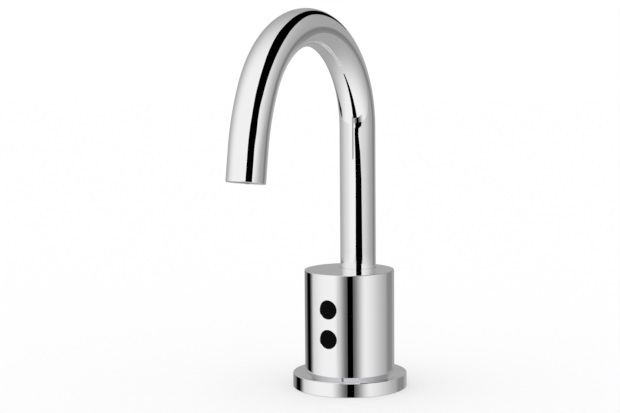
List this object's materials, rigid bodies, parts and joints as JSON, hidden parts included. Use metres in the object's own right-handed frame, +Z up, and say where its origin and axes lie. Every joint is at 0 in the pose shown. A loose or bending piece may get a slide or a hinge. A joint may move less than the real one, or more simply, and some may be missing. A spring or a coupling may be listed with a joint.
{
  "type": "sensor tap",
  "caption": "Deck-mounted sensor tap: a bent round spout that swivels on a round body with dark front windows, over a dished base flange, with valve and sensor inside.",
  "frame": {"origin": "centre of the underside, on the deck, on the axis of the body and base flange", "axes": "+Z up along the body and the spout's leg, -Y to the front, where the windows and the outlet are, X across"},
  "size_m": [0.07, 0.1618, 0.2298],
  "materials": {
    "chrome_plate": "polished",
    "raw_brass": "machined",
    "stainless": "machined",
    "zinc_steel": "zinc plated",
    "magnet_ferrite": "sintered",
    "copper_wire": "enamelled",
    "black_rubber": "matte",
    "dark_window": "polished",
    "black_plastic": "moulded",
    "white_plastic": "moulded",
    "grey_plastic": "moulded",
    "board_laminate": "lacquered",
    "diode_resin": "moulded",
    "lead_sheath": "extruded"
  },
  "bodies": {
    "tap_body": {"armature_sleeve": "stainless", "armature_spring": "stainless", "base_flange": "chrome_plate", "base_gasket": "black_rubber", "board_connector": "white_plastic", "body_collar": "chrome_plate", "body_shell": "chrome_plate", "bonnet_o_ring": "black_rubber", "bracket_screw": "stainless", "cable_gland": "black_rubber", "check_valve_cage": "white_plastic", "check_valve_spring": "stainless", "coil_bobbin": "white_plastic", "coil_can": "zinc_steel", "coil_nut": "zinc_steel", "coil_top_plate": "zinc_steel", "coil_winding": "copper_wire", "control_chip": "black_plastic", "fixed_core": "stainless", "inlet_filter": "stainless", "inlet_nipple": "raw_brass", "ir_emitter": "diode_resin", "ir_receiver": "diode_resin", "latching_magnet": "magnet_ferrite", "lens_seal_lower": "black_rubber", "lens_seal_upper": "black_rubber", "retaining_screw": "stainless", "sensor_back_cover": "black_plastic", "sensor_board": "board_laminate", "sensor_bracket": "stainless", "sensor_housing": "black_plastic", "sensor_lens_lower": "dark_window", "sensor_lens_upper": "dark_window", "sensor_screws": "stainless", "solenoid_lead": "lead_sheath", "spout_bearing_ring": "white_plastic", "valve_body": "raw_brass", "valve_bonnet": "stainless"},
    "spout": {"spout_tube": "chrome_plate", "spout_spigot": "raw_brass", "spigot_o_ring_lower": "black_rubber", "spigot_o_ring_upper": "black_rubber", "outlet_thread_ring": "raw_brass", "aerator_housing": "grey_plastic", "aerator_grid": "grey_plastic", "aerator_washer": "black_rubber"},
    "armature_unit": {"armature": "stainless", "armature_seal": "black_rubber"},
    "piston_unit": {"servo_piston": "white_plastic", "piston_cup_seal": "black_rubber", "piston_seat_washer": "black_rubber"},
    "poppet_unit": {"check_valve_poppet": "white_plastic", "check_valve_seal": "black_rubber"}
  },
  "joints": [
    {"name": "spout_swivel", "type": "hinge", "parent": "tap_body", "child": "spout", "pos_m": [0, 0.0115, 0.071], "axis": [0, 0, 1], "range_deg": [-60, 60]},
    {"name": "armature_slide", "type": "slide", "parent": "tap_body", "child": "armature_unit", "axis": [0, 0, 1], "range_m": [0, 0.003], "stiffness_N_per_m": 400, "springref_m": -0.006, "deforming": ["armature_spring"]},
    {"name": "piston_slide", "type": "slide", "parent": "tap_body", "child": "piston_unit", "axis": [0, 0, 1], "range_m": [0, 0.002]},
    {"name": "check_valve_slide", "type": "slide", "parent": "tap_body", "child": "poppet_unit", "axis": [0, 0, 1], "range_m": [0, 0.0018], "stiffness_N_per_m": 60, "springref_m": -0.006, "deforming": ["check_valve_spring"]}
  ],
  "couplings": [
    {"joint": "piston_slide", "follows": "armature_slide", "ratio": 0.6666}
  ]
}
